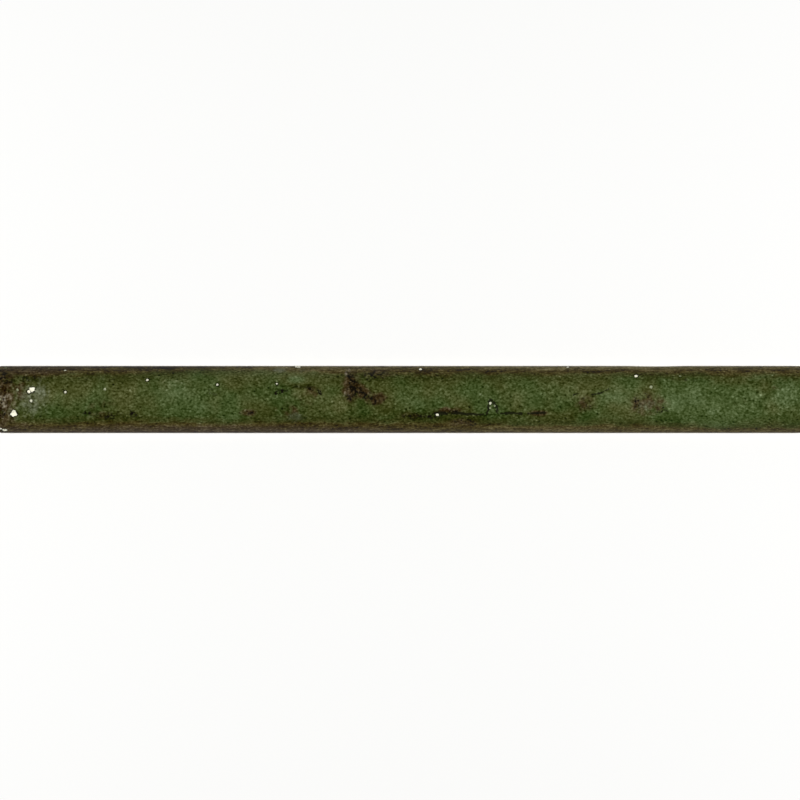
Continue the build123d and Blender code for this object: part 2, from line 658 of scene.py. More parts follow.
    Stain(Tint.SHADE, 101.6, -7.6, 9.0, 1.8, 0.6),
    Stain(Tint.SHADE, 140.6, -8.0, 12.0, 3.0, 0.4),
    # Dark lines along the upper edge, then along the lower one: painted shade beside the rim's sheen and at
    # the foot of the face
    Stain(Tint.SHADE, -111.4, 12.6, 45.0, 1.7, 1.0),
    Stain(Tint.SHADE, -90.4, 12.2, 26.0, 0.9, 1.5),
    Stain(Tint.SHADE, 18.6, 10.7, 24.0, 0.7, 0.9),
    Stain(Tint.SHADE, 80.6, 10.8, 14.0, 0.6, 0.7),
    Stain(Tint.SHADE, 102.6, 10.4, 11.0, 1.4, 0.6),
    Stain(Tint.SHADE, 131.6, 11.2, 22.0, 0.7, 0.9),
    Stain(Tint.SHADE, -147.4, -12.0, 10.0, 2.0, 0.7),
    Stain(Tint.SHADE, -127.4, -12.0, 22.0, 1.2, 0.3),
    Stain(Tint.SHADE, -75.4, -12.3, 80.0, 0.5, 0.6),
    Stain(Tint.SHADE, -20.4, -10.3, 40.0, 0.8, 0.6),
    Stain(Tint.SHADE, 27.6, -11.8, 9.0, 1.2, 0.4),
    # Coarser mottle near the right end
    Stain(Tint.COARSE, 131.6, -1.5, 9.0, 6.5, 0.95),
    Stain(Tint.COARSE, 144.6, 2.0, 6.0, 7.0, 0.35),
)

# The long crease in its dashes, the two faint ones past it, and the cracks round the blister
CREASES = (
    Crease(((14.4, -5.0), (17.6, -5.3))),
    Crease(((14.8, -5.3), (17.2, -5.5))),
    Crease(((19.8, -5.3), (24.2, -5.4))),
    Crease(((20.6, -5.0), (23.4, -5.1))),
    Crease(((24.2, -5.4), (27.6, -5.6), (31.0, -5.6))),
    Crease(((37.4, -5.4), (41.2, -5.1), (45.0, -5.3))),
    Crease(((47.6, -5.2), (50.4, -5.0), (53.6, -4.9))),
    Crease(((64.5, 1.8), (66.9, 2.4)), 0.3),
    Crease(((71.6, 1.9), (74.7, 2.4), (77.5, 4.0)), 0.16),
    Crease(((34.9, -1.0), (36.0, -2.6), (36.4, -5.2))),
    Crease(((34.6, -1.1), (35.6, -2.7), (36.0, -5.2))),
    Crease(((32.7, -2.3), (32.9, -3.8), (32.1, -5.3))),
    Crease(((33.0, -0.8), (33.4, -0.3), (34.1, -0.3))),
)


@dataclass(frozen=True)
class Section:
    """The drawn section of the tile, in metres: a half-round face on a keyed back."""

    length: float
    width: float
    thickness: float
    setting_edge: float = 3.5 * MM
    shoulder_softness: float = 0.17 * MM
    back_arris: float = 0.6 * MM
    end_round: float = 1.1 * MM
    key_count: int = 4
    key_mouth: float = 2.6 * MM
    key_depth: float = 0.9 * MM
    key_wall_deg: float = 65.0
    key_margin: float = 5.0 * MM
    back_step: float = 0.7 * MM

    @property
    def crown_radius(self) -> float:
        """Radius of the crown, which springs from the setting edges and reaches the thickness."""
        rise = self.thickness - self.setting_edge
        return ((self.width / 2) ** 2 + rise**2) / (2 * rise)

    @property
    def crown_centre(self) -> float:
        """Height of the crown's centre above the back."""
        return self.thickness - self.crown_radius

    @property
    def outer_groove_edge(self) -> float:
        """Distance of the outermost groove's outer lip from the middle."""
        return self.width / 2 - self.key_margin + self.key_mouth / 2

    def on_face(self, along: float, across: float) -> Vector:
        """The point of the face above a place.

        Args:
            along: place along the tile, in millimetres.
            across: place across the tile, in millimetres.

        Returns:
            The point, in metres.
        """
        side = min(abs(across) * MM, self.width / 2)
        height = self.crown_centre + math.sqrt(self.crown_radius**2 - side**2)
        return Vector((along * MM, math.copysign(side, across), height))

    def back_line(self) -> list[Place]:
        """Draws the back from edge to edge: the lands and the keying grooves between them.

        Returns:
            Places across and heights, in metres, no further apart than about one back step.
        """
        edge = self.width / 2 - self.back_arris
        pitch = (self.width - 2 * self.key_margin) / (self.key_count - 1)
        mouth = self.key_mouth / 2
        floor = mouth - self.key_depth / math.tan(math.radians(self.key_wall_deg))
        corners = [(-edge, 0.0)]
        for key in range(self.key_count):
            middle = (key - (self.key_count - 1) / 2) * pitch
            corners += [(middle - mouth, 0.0), (middle - floor, self.key_depth)]
            corners += [(middle + floor, self.key_depth), (middle + mouth, 0.0)]
        corners.append((edge, 0.0))
        line = [corners[0]]
        for start, end in pairwise(corners):
            line += divided(start, end, max(1, round(math.dist(start, end) / self.back_step)))
        return line


@dataclass(frozen=True)
class Cloud:
    """A cloudy noise: the spacing of its lumps in millimetres, its seed and its finer layers.

    Stretch multiplies the three parts of a place first, so a share below 1 draws the lumps out.
    """

    size: float
    seed: float
    detail: float = 2.0
    rough: float = 0.5
    stretch: tuple[float, float, float] = (1.0, 1.0, 1.0)


class Noise(Enum):
    """The noises of the finish, each the same wherever it is read."""

    CLOUD = Cloud(12.0, 1.0, detail=1.0)
    MOTTLE = Cloud(2.6, 2.0, detail=1.0)
    GRAIN = Cloud(0.72, 3.0, rough=0.55, stretch=(0.8, 1.0, 1.0))
    STREAK = Cloud(1.2, 4.0, rough=0.6, stretch=(0.2, 1.0, 1.0))
    TOOTH = Cloud(0.45, 5.0)
    RUN = Cloud(3.0, 6.0, detail=3.0, stretch=(1.0, 1.0, 0.25))
    DRAG = Cloud(1.6, 7.0, detail=3.0, stretch=(0.08, 1.0, 1.0))
    CLAY = Cloud(0.8, 8.0, detail=3.0, rough=0.7)
    WEAR = Cloud(5.0, 9.0)
    CHIP = Cloud(0.5, 10.0)
    DRIFT = Cloud(6.0, 11.0)
    SWIRL = Cloud(1.5, 12.0, rough=0.6, stretch=(1.0, 0.7, 0.7))
    BLOT = Cloud(1.15, 13.0, rough=0.6)


class FinishGraph(Graph):
    """The nodes of the finish, which know their place on the tile and what its points carry."""

    def __init__(self, material: bpy.types.Material) -> None:
        """Takes the nodes of a material, and reads the place on the tile in millimetres.

        Args:
            material: the material whose nodes are wired.
        """
        super().__init__(material.node_tree)
        self.here = self.scaled(self.node("ShaderNodeTexCoord").outputs["Object"], 1 / MM)
        _, self.across, self.height = self.split(self.here)
        self.swings: dict[Noise, Field] = {}

    def carried(self, name: str) -> Field:
        """A number that the tile's points carry under a name."""
        return Field(self, self.node("ShaderNodeAttribute", attribute_name=name).outputs["Fac"])

    def tint(self, tint: Tint) -> Field:
        """The strength of a tint."""
        return self.carried(tint.value)

    def swing(self, noise: Noise) -> Field:
        """Reads a noise, which is wired once for all the layers that ask for it.

        Args:
            noise: which noise.

        Returns:
            The noise about 0, at most 0.5 either way.
        """
        if noise not in self.swings:
            cloud = noise.value
            at = self.stretched(self.here, *cloud.stretch)
            self.swings[noise] = self.noise(at, cloud.size, cloud.seed, cloud.detail, cloud.rough) - 0.5
        return self.swings[noise]


@dataclass(frozen=True)
class GreenGlaze:
    """The glaze's own colour: green on the crown, breaking to brown where it runs thin on the flanks.

    Rises are millimetres of height, and a band gives where a colour sets in and where it is full.
    """

    olive: Colour = display(69, 73, 36)
    moss: Colour = display(58, 72, 33)
    deep: Colour = display(54, 59, 21)
    milk: Colour = display(80, 95, 58)
    umber: Colour = display(57, 48, 11)
    umber_pale: Colour = display(76, 67, 30)
    russet: Colour = display(66, 55, 32)
    lean: float = 0.047
    flood_rise: float = 3.0
    mottle_rise: float = 1.6
    cloud_rise: float = 4.0
    streak_rise: float = 2.6
    verdant_share: float = 0.25
    milk_mottle: float = 0.35
    russet_mottle: float = 1.8
    moss_band: Band = (-0.12, 0.22)
    deep_band: Band = (12.0, 10.0)
    milk_band: Band = (0.15, 1.0)
    brown_band: Band = (10.4, 8.2)
    umber_pale_band: Band = (-0.15, 0.15)
    russet_band: Band = (0.25, 0.85)

    def level(self, graph: FinishGraph) -> Field:
        """Finds how high up the face the glaze seems to lie, going by its thickness.

        Args:
            graph: the finish's nodes.

        Returns:
            The height, in millimetres.
        """
        lifted = graph.height + graph.across * self.lean + graph.tint(Tint.FLOOD) * self.flood_rise
        mottled = lifted + graph.swing(Noise.MOTTLE) * self.mottle_rise
        clouded = mottled + graph.swing(Noise.CLOUD) * self.cloud_rise
        return clouded + graph.swing(Noise.STREAK) * self.streak_rise

    def flank(self, graph: FinishGraph) -> Field:
        """The share of the brown that the glaze breaks to."""
        return self.level(graph).ramp(*self.brown_band)

    def colour(self, graph: FinishGraph) -> bpy.types.NodeSocket:
        """Mixes the greens, the milky blooms, the brown flanks and the russet patches.

        Args:
            graph: the finish's nodes.

        Returns:
            The colour.
        """
        mottle = graph.swing(Noise.MOTTLE)
        copper = graph.swing(Noise.CLOUD) + graph.tint(Tint.VERDANT) * self.verdant_share
        colour = graph.blend(copper.ramp(*self.moss_band), self.olive, self.moss)
        colour = graph.blend(self.level(graph).ramp(*self.deep_band), colour, self.deep)
        milky = graph.tint(Tint.BLOOM) + mottle * self.milk_mottle
        colour = graph.blend(milky.ramp(*self.milk_band), colour, self.milk)
        pale = graph.swing(Noise.STREAK).ramp(*self.umber_pale_band)
        colour = graph.blend(self.flank(graph), colour, graph.blend(pale, self.umber, self.umber_pale))
        patch = graph.tint(Tint.UMBER) * (1.0 + mottle * self.russet_mottle)
        return graph.blend(patch.ramp(*self.russet_band), colour, self.russet)


@dataclass(frozen=True)
class Veil:
    """Grey haze over the glaze, and a pale grey: ashy by the blotch, and swirls of painted reflection at the
    left end.
    """

    haze: Colour = display(87, 92, 69)
    ash: Colour = display(106, 98, 80)
    haze_swirl: float = 1.0
    ash_and_glint_swirl: float = 4.0
    haze_band: Band = (0.2, 0.9)
    ash_and_glint_band: Band = (0.3, 1.1)

    def over(self, graph: FinishGraph, colour: Input) -> bpy.types.NodeSocket:
        """Lays the haze and the pale grey, partly painted reflection, over a colour.

        Args:
            graph: the finish's nodes.
            colour: the colour below.

        Returns:
            The veiled colour.
        """
        swirl = graph.swing(Noise.SWIRL)
        hazy = graph.tint(Tint.HAZE) + swirl * self.haze_swirl
        colour = graph.blend(hazy.ramp(*self.haze_band), colour, self.haze)
        # The pale grey: ashy by the blotch, painted reflection in swirls at the left end
        ash_and_glint_share = graph.tint(Tint.ASH_AND_GLINT) * (1.0 + swirl * self.ash_and_glint_swirl)
        return graph.blend(ash_and_glint_share.ramp(*self.ash_and_glint_band), colour, self.ash)


@dataclass(frozen=True)
class Grain:
    """Grains, specks and streaks in the glaze, some lighter and some darker than it.

    Tones are shares of the display's range.
    """

    cells_per_mm: float = 1.5
    cell_softness: float = 0.5
    cell_share: float = 0.2
    speck_size: float = 1.7
    speck_band: Band = (0.36, 0.1)
    grain_tone: float = 0.51
    drift_tone: float = 0.11
    speck_tone: float = 0.26
    streak_tone: float = 0.26
    streak_lean: float = 0.02
    stretch_and_edge_light_tone: float = 0.08
    coarse_tone: float = 0.6
    least_tone: float = 0.01
    display_gamma: float = 2.2

    def swing(self, graph: FinishGraph) -> Field:
        """Mixes the grains: soft cells in a fine cloud, drawn out a little along the tile.

        Args:
            graph: the finish's nodes.

        Returns:
            The grains about 0, at most 0.5 either way.
        """
        drawn = graph.stretched(graph.here, *Noise.GRAIN.value.stretch)
        cells = {"Vector": drawn, "Scale": self.cells_per_mm, "Smoothness": self.cell_softness}
        cell = graph.node("ShaderNodeTexVoronoi", cells, feature="SMOOTH_F1", voronoi_dimensions="3D")
        tone, _, _ = graph.split(cell.outputs["Color"])
        return graph.swing(Noise.GRAIN) * (1 - self.cell_share) + (tone - 0.5) * self.cell_share

    def specks(self, graph: FinishGraph) -> Field:
        """Scatters specks.

        Args:
            graph: the finish's nodes.

        Returns:
            The specks about 0, at most 0.5 either way.
        """
        cells = {"Vector": graph.here, "Scale": 1 / self.speck_size}
        cell = graph.node("ShaderNodeTexVoronoi", cells, feature="F1", voronoi_dimensions="3D")
        chance, _, _ = graph.split(cell.outputs["Color"])
        return Field(graph, cell.outputs["Distance"]).ramp(*self.speck_band) * (chance - 0.5)

    def lift(self, graph: FinishGraph, grain: Field, flank: Field) -> Field:
        """Adds up what lightens and darkens the glaze.

        Args:
            graph: the finish's nodes.
            grain: the grains.
            flank: share of the brown, where the streaks show.

        Returns:
            The tone to add; negative darkens.
        """
        drift = graph.swing(Noise.DRIFT)
        lift = grain * (1.0 + drift) * self.grain_tone + drift * self.drift_tone
        lift = lift + self.specks(graph) * self.speck_tone
        # Pale and shade lift and lower the tone; along the edges they are painted sheen and painted shade
        lift = lift + (graph.tint(Tint.PALE) - graph.tint(Tint.SHADE)) * self.stretch_and_edge_light_tone
        leaning = flank * (1.0 + graph.across * self.streak_lean)
        lift = lift + graph.swing(Noise.STREAK) * leaning * self.streak_tone
        return lift + graph.swing(Noise.SWIRL) * graph.tint(Tint.COARSE) * self.coarse_tone

    def over(self, graph: FinishGraph, colour: Input, lift: Field) -> bpy.types.NodeSocket:
        """Lightens or darkens a colour evenly on the display's scale, so that light grains look grey.

        Args:
            graph: the finish's nodes.
            colour: the colour below.
            lift: the tone to add.

        Returns:
            The grained colour.
        """
        shown = graph.node("ShaderNodeGamma", {"Color": colour, "Gamma": 1 / self.display_gamma}).outputs[0]
        added = {0: shown, 1: graph.joined(lift, lift, lift)}
        shown = graph.node("ShaderNodeVectorMath", added, operation="ADD").outputs[0]
        kept = {0: shown, 1: (self.least_tone,) * 3}
        shown = graph.node("ShaderNodeVectorMath", kept, operation="MAXIMUM").outputs[0]
        return graph.node("ShaderNodeGamma", {"Color": shown, "Gamma": self.display_gamma}).outputs[0]


@dataclass(frozen=True)
class BurnsAndRimShade:
    """Burnt blotches, drawn creases, and dark rims round clean pinholes: thin glaze and painted shade."""

    scorch: Colour = display(13, 10, 4)
    ink: Colour = display(19, 20, 7)
    scorch_blot: float = 6.0
    scorch_band: Band = (0.45, 1.4)
    crease_grain: float = 1.1
    crease_mottle: float = -1.3
    crease_band: Band = (0.6, 0.2)
    crease_share: float = 0.9
    rim_shade_grain: float = 0.8
    rim_shade_band: Band = (0.65, 0.2)
    rim_shade_body_band: Band = (0.45, 0.8)
    rim_shade_share: float = 0.85

    def over(self, graph: FinishGraph, colour: Input, grain: Field) -> bpy.types.NodeSocket:
        """Darkens a colour with burnt blotches, drawn creases and painted shade round the clean pinholes.

        Args:
            graph: the finish's nodes.
            colour: the colour below.
            grain: the grains, which break the edges of lines and rims.

        Returns:
            The burnt colour.
        """
        burnt = graph.tint(Tint.SCORCH) * (1.0 + graph.swing(Noise.BLOT) * self.scorch_blot)
        colour = graph.blend(burnt.ramp(*self.scorch_band), colour, self.scorch)
        ragged = grain * self.crease_grain + graph.swing(Noise.MOTTLE) * self.crease_mottle
        drawn = (graph.carried("crease") + ragged).ramp(*self.crease_band, 0.0, self.crease_share)
        # Painted shade: a dark rim round each clean pinhole, over thin glaze at its edge
        rim_shade = (graph.carried("pit") + grain * self.rim_shade_grain).ramp(*self.rim_shade_band)
        clean = graph.carried("body").ramp(*self.rim_shade_body_band, 0.0, self.rim_shade_share)
        return graph.blend(drawn.most(rim_shade * clean), colour, self.ink)


@dataclass(frozen=True)
class BareBody:
    """The fired body where it shows: in pinholes and chips, along the foot and on the back.

    Heights are millimetres above the back.
    """

    bisque: Colour = display(242, 240, 219)
    film: Colour = display(150, 160, 122)
    clay: Colour = display(236, 232, 216)
    clay_shade: Colour = display(206, 198, 178)
    bisque_band: Band = (0.3, 0.8)
    clay_band: Band = (-0.2, 0.25)
    chip_edge: float = 0.7
    hole_band: Band = (0.06, -0.1)
    hole_share: float = 0.3
    chip_band: Band = (-0.3, 0.0)
    chip_share: float = 0.6
    run_rise: float = 4.0
    foot_band: Band = (1.9, 1.5)
    groove_band: Band = (1.15, 1.0)

    def hole_colour(self, graph: FinishGraph) -> bpy.types.NodeSocket:
        """The body in a pinhole, under a film of glaze where the hole isn't clean."""
        return graph.blend(graph.carried("body").ramp(*self.bisque_band), self.film, self.bisque)

    def back_colour(self, graph: FinishGraph) -> bpy.types.NodeSocket:
        """The body on the back, with faint streaks that the die drew along it."""
        streaked = graph.swing(Noise.DRAG) + graph.swing(Noise.CLAY)
        return graph.blend(streaked.ramp(*self.clay_band), self.clay_shade, self.clay)

    def holes(self, graph: FinishGraph) -> Field:
        """Finds where the body shows in pinholes and chips.

        Args:
            graph: the finish's nodes.

        Returns:
            The share of the body in the colour.
        """
        ragged = graph.swing(Noise.CHIP)
        hole = (graph.carried("pit") + ragged * self.chip_edge).ramp(*self.hole_band)
        clean = self.hole_share + graph.carried("body") * (1 - self.hole_share)
        return hole * clean * ragged.ramp(*self.chip_band, self.chip_share, 1.0)

    def foot(self, graph: FinishGraph) -> Field:
        """Finds where the glaze stops: low on the edges and the ends, above the bare back.

        Args:
            graph: the finish's nodes.

        Returns:
            The share of the body in the colour.
        """
        ragged = graph.height + graph.swing(Noise.RUN) * self.run_rise
        return ragged.ramp(*self.foot_band).most(graph.height.ramp(*self.groove_band))


@dataclass(frozen=True)
class GlazeFinish:
    """The fired surface: a mottled green glaze that breaks to brown where it runs thin, on a pale body."""

    green: GreenGlaze = GreenGlaze()
    veil: Veil = Veil()
    grain: Grain = Grain()
    burns_and_rim_shade: BurnsAndRimShade = BurnsAndRimShade()
    body: BareBody = BareBody()
    specular: float = 0.05
    glaze_roughness: float = 0.47
    wear_roughness: float = 0.16
    grain_roughness: float = 0.1
    body_roughness: float = 0.88
    tooth_share: float = 0.3
    tooth_strength: float = 0.35
    tooth_depth: float = 0.12 * MM

    def build(self) -> bpy.types.Material:
        """Makes the material, which reads places on the tile and the marks that its points carry.

        Returns:
            The material.
        """
        material = bpy.data.materials.new("fired_glaze")
        material.use_nodes = True
        graph = FinishGraph(material)
        shader = material.node_tree.nodes["Principled BSDF"]
        grain = self.grain.swing(graph)
        hole, foot = self.body.holes(graph), self.body.foot(graph)
        colour = graph.blend(hole, self.glaze_colour(graph, grain), self.body.hole_colour(graph))
        colour = graph.blend(foot, colour, self.body.back_colour(graph))
        graph.feed(shader.inputs["Base Color"], colour)
        gloss = self.glaze_roughness + graph.swing(Noise.WEAR) * self.wear_roughness
        gloss = gloss + grain * self.grain_roughness
        roughness = gloss + hole.most(foot) * (self.body_roughness - gloss)
        graph.feed(shader.inputs["Roughness"], roughness)
        shader.inputs["Specular IOR Level"].default_value = self.specular
        height = grain * (1 - self.tooth_share) + graph.swing(Noise.TOOTH) * self.tooth_share
        inputs = {"Strength": self.tooth_strength, "Distance": self.tooth_depth, "Height": height}
        graph.feed(shader.inputs["Normal"], graph.node("ShaderNodeBump", inputs).outputs[0])
        return material

    def glaze_colour(self, graph: FinishGraph, grain: Field) -> bpy.types.NodeSocket:
        """Lays the glaze's colours over one another.

        Args:
            graph: the finish's nodes.
            grain: the grains.

        Returns:
            The colour.
        """
        colour = self.veil.over(graph, self.green.colour(graph))
        lift = self.grain.lift(graph, grain, self.green.flank(graph))
        colour = self.grain.over(graph, colour, lift)
        return self.burns_and_rim_shade.over(graph, colour, grain)


class MarkedFace:
    """The marks where they lie on the face, for dividing it finely round them and for firing them in."""

    def __init__(self, section: Section) -> None:
        """Puts every pinhole and crease on the face of a section.

        Args:
            section: the section whose face is marked.
        """
        self.section = section
        self.holes = np.array([section.on_face(m.along, m.across) for m in PINHOLES])
        self.radii = np.array([m.radius for m in PINHOLES]) * MM
        self.lines = np.array([section.on_face(*place) for c in CREASES for place in c.line()])

    def near(self, edge: bmesh.types.BMEdge, spare: float) -> bool:
        """Tells whether the middle of an edge lies close to a mark.

        Args:
            edge: the edge.
            spare: how close, in metres.

        Returns:
            True if it does.
        """
        middle = np.array((edge.verts[0].co + edge.verts[1].co) / 2)
        hole_gaps = np.linalg.norm(self.holes - middle, axis=1) - self.radii
        line_gaps = np.linalg.norm(self.lines - middle, axis=1)
        return min(hole_gaps.min(), line_gaps.min()) < spare

    def points(self, name: str, marks: Sequence[Mark]) -> bpy.types.Object:
        """Puts a set of marks on the face as points that carry their sizes.

        Args:
            name: name of the helper object.
            marks: the set.

        Returns:
            The helper object.
        """
        helper = points_object(name, [self.section.on_face(m.along, m.across) for m in marks])
        for size in ("radius", "depth", "body"):
            carry(helper.data, size, [getattr(m, size) for m in marks])
        return helper

    def creases(self) -> bpy.types.Object:
        """Draws the creases on the face as lines that carry their faintness.

        Returns:
            The helper object.
        """
        edges, faintness = [], []
        for crease in CREASES:
            first, count = len(faintness), len(crease.line())
            edges += [(first + step, first + step + 1) for step in range(count - 1)]
            faintness += [crease.faintness] * count
        helper = points_object("creases", [Vector(point) for point in self.lines], edges)
        carry(helper.data, "faintness", faintness)
        return helper


@dataclass(frozen=True)
class Firing:
    """What the kiln does to the face: it ripples, pits where it burns, and opens at the marks.

    Sizes are millimetres, depths go inwards, and a mark's bands are shares of its radius.
    """

    broad_ripple: float = 0.10
    broad_size: float = 8.0
    fine_ripple: float = 0.07
    fine_size: float = 1.7
    pitting: float = 0.16
    pitting_size: float = 1.1
    crease_depth: float = 0.10
    crease_half_width: float = 0.28
    lip_height: float = 0.03
    wobble_size: float = 0.9
    wobble: float = 1.4
    wobble_least: float = 0.35
    hollow_band: Band = (1.1, 0.35)
    lip_rise_band: Band = (1.7, 1.2)
    lip_fall_band: Band = (1.2, 1.0)
    swelling_band: Band = (1.0, 0.2)
    face_band: Band = (0.9, 1.0)
    steep_band: Band = (0.0, 0.5)
    steep_share: float = 0.12
    back_share: float = 0.3
    clear_of_marks: float = 9.0
    seed: float = 17.0

    def fire(
        self, piece: bpy.types.Object, face: MarkedFace, material: bpy.types.Material
    ) -> bpy.types.Mesh:
        """Fires the blank.

        Args:
            piece: the object with the stained blank.
            face: the marks on its face.
            material: the finish.

        Returns:
            The fired mesh, whose points carry "pit", "body" and "crease" for the finish.
        """
        helpers = {
            "Pinholes": face.points("pinholes", PINHOLES),
            "Swellings": face.points("swellings", SWELLINGS),
            "Creases": face.creases(),
        }
        mesh = self.tree().run(piece, helpers | {
            "Broad Ripple": self.broad_ripple,
            "Broad Size": self.broad_size,
            "Fine Ripple": self.fine_ripple,
            "Fine Size": self.fine_size,
            "Pitting": self.pitting,
            "Pitting Size": self.pitting_size,
            "Crease Depth": self.crease_depth,
            "Crease Half Width": self.crease_half_width,
            "Lip Height": self.lip_height,
            "Seed": self.seed,
            "Finish": material,
        })
        for helper in helpers.values():
            bpy.data.objects.remove(helper)
        return mesh

    def tree(self) -> GeometryTree:
        """Builds the tree that sinks and lifts the points of the face.

        Returns:
            The tree.
        """
        tree = GeometryTree("fire_glaze")
        broad, broad_size = tree.ask("Broad Ripple"), tree.ask("Broad Size")
        fine, fine_size = tree.ask("Fine Ripple"), tree.ask("Fine Size")
        pitting, pitting_size = tree.ask("Pitting"), tree.ask("Pitting Size")
        seed = tree.ask("Seed")
        here = tree.scaled(tree.position(), 1 / MM)
        face = tree.named("rise").ramp(*self.face_band)

        ripple = broad * tree.noise(here, broad_size, seed) + fine * tree.noise(here, fine_size, seed + 1)
        burn = tree.named(Tint.SCORCH.value) * pitting * tree.noise(here, pitting_size, seed + 2, 1.0)
        wobble = tree.noise(here, self.wobble_size, seed + 3, 1.0) * self.wobble + self.wobble_least
        gap, radius, hollow, lip, body = self.pinholes(tree, wobble)
        line_gap, crease = self.creases(tree)

        normal = tree.node("GeometryNodeInputNormal").outputs[0]
        _, _, upward = tree.split(normal)
        open_face = face * upward.ramp(*self.steep_band, self.steep_share, 1.0)
        sunk = (ripple + burn - lip) * open_face + (hollow + self.swellings(tree) + crease) * face
        offset = tree.scaled(normal, (sunk + ripple * (1 - face) * self.back_share) * -MM)
        kept = tree.store(tree.geometry, "pit", (gap - radius) + (1 - face) * self.clear_of_marks)
        kept = tree.store(kept, "body", body)
        kept = tree.store(kept, "crease", line_gap)
        fired = tree.node("GeometryNodeSetPosition", {"Geometry": kept, "Offset": offset})
        tree.close(fired.outputs[0], tree.ask("Finish", Kind.FINISH))
        return tree

    def pinholes(self, tree: GeometryTree, wobble: Field) -> tuple[Field, Field, Field, Field, Field]:
        """Opens the pinholes and chips, with ragged outlines and a low lip of glaze round them.

        Args:
            tree: the tree being built.
            wobble: what the distance from a mark is multiplied by.

        Returns:
            Distance to the nearest one, its radius, the depth of its hollow, its lip and the body in it.
        """
        lip_height = tree.ask("Lip Height")
        gap, radius, depth, body = self.nearest_mark(tree, tree.ask("Pinholes", Kind.PIECE))
        gap = gap * wobble
        share = gap / radius
        lip = lip_height * (share.ramp(*self.lip_rise_band) - share.ramp(*self.lip_fall_band))
        return gap, radius, depth * share.ramp(*self.hollow_band), lip, body

    def swellings(self, tree: GeometryTree) -> Field:
        """The depth of the nearest swelling; a blister's is below zero."""
        gap, radius, depth, _ = self.nearest_mark(tree, tree.ask("Swellings", Kind.PIECE))
        return depth * (gap / radius).ramp(*self.swelling_band)

    def creases(self, tree: GeometryTree) -> tuple[Field, Field]:
        """Draws the glaze apart along the creases.

        Args:
            tree: the tree being built.

        Returns:
            Distance to the nearest crease, with its faintness added, and the crease's depth.
        """
        depth, half_width = tree.ask("Crease Depth"), tree.ask("Crease Half Width")
        creases = tree.piece(tree.ask("Creases", Kind.PIECE))
        lines = {"Geometry": creases}
        gap = tree.node("GeometryNodeProximity", lines, target_element="EDGES").outputs["Distance"]
        index = tree.node("GeometryNodeSampleNearest", lines, domain="POINT").outputs[0]
        faintness = Field(tree, tree.sampled(creases, tree.named("faintness"), index))
        line_gap = Field(tree, gap) / MM + faintness
        return line_gap, depth * line_gap.ramp(half_width, 0.0)

    def nearest_mark(self, tree: GeometryTree, source: Field) -> tuple[Field, Field, Field, Field]:
        """Finds the nearest mark of a set.

        Args:
            tree: the tree being built.
            source: the input that names the set's object.

        Returns:
            The distance to its middle, its radius and its depth, in millimetres, and the body in it.
        """
        marks = tree.piece(source)
        index = tree.node("GeometryNodeSampleNearest", {"Geometry": marks}, domain="POINT").outputs[0]
        middle = tree.sampled(marks, tree.position(), index, "FLOAT_VECTOR")
        ends = {0: tree.position(), 1: middle}
        gap = tree.node("ShaderNodeVectorMath", ends, operation="DISTANCE").outputs["Value"]
        sizes = [Field(tree, tree.sampled(marks, tree.named(n), index)) for n in ("radius", "depth", "body")]
        return Field(tree, gap) / MM, sizes[0], sizes[1], sizes[2]


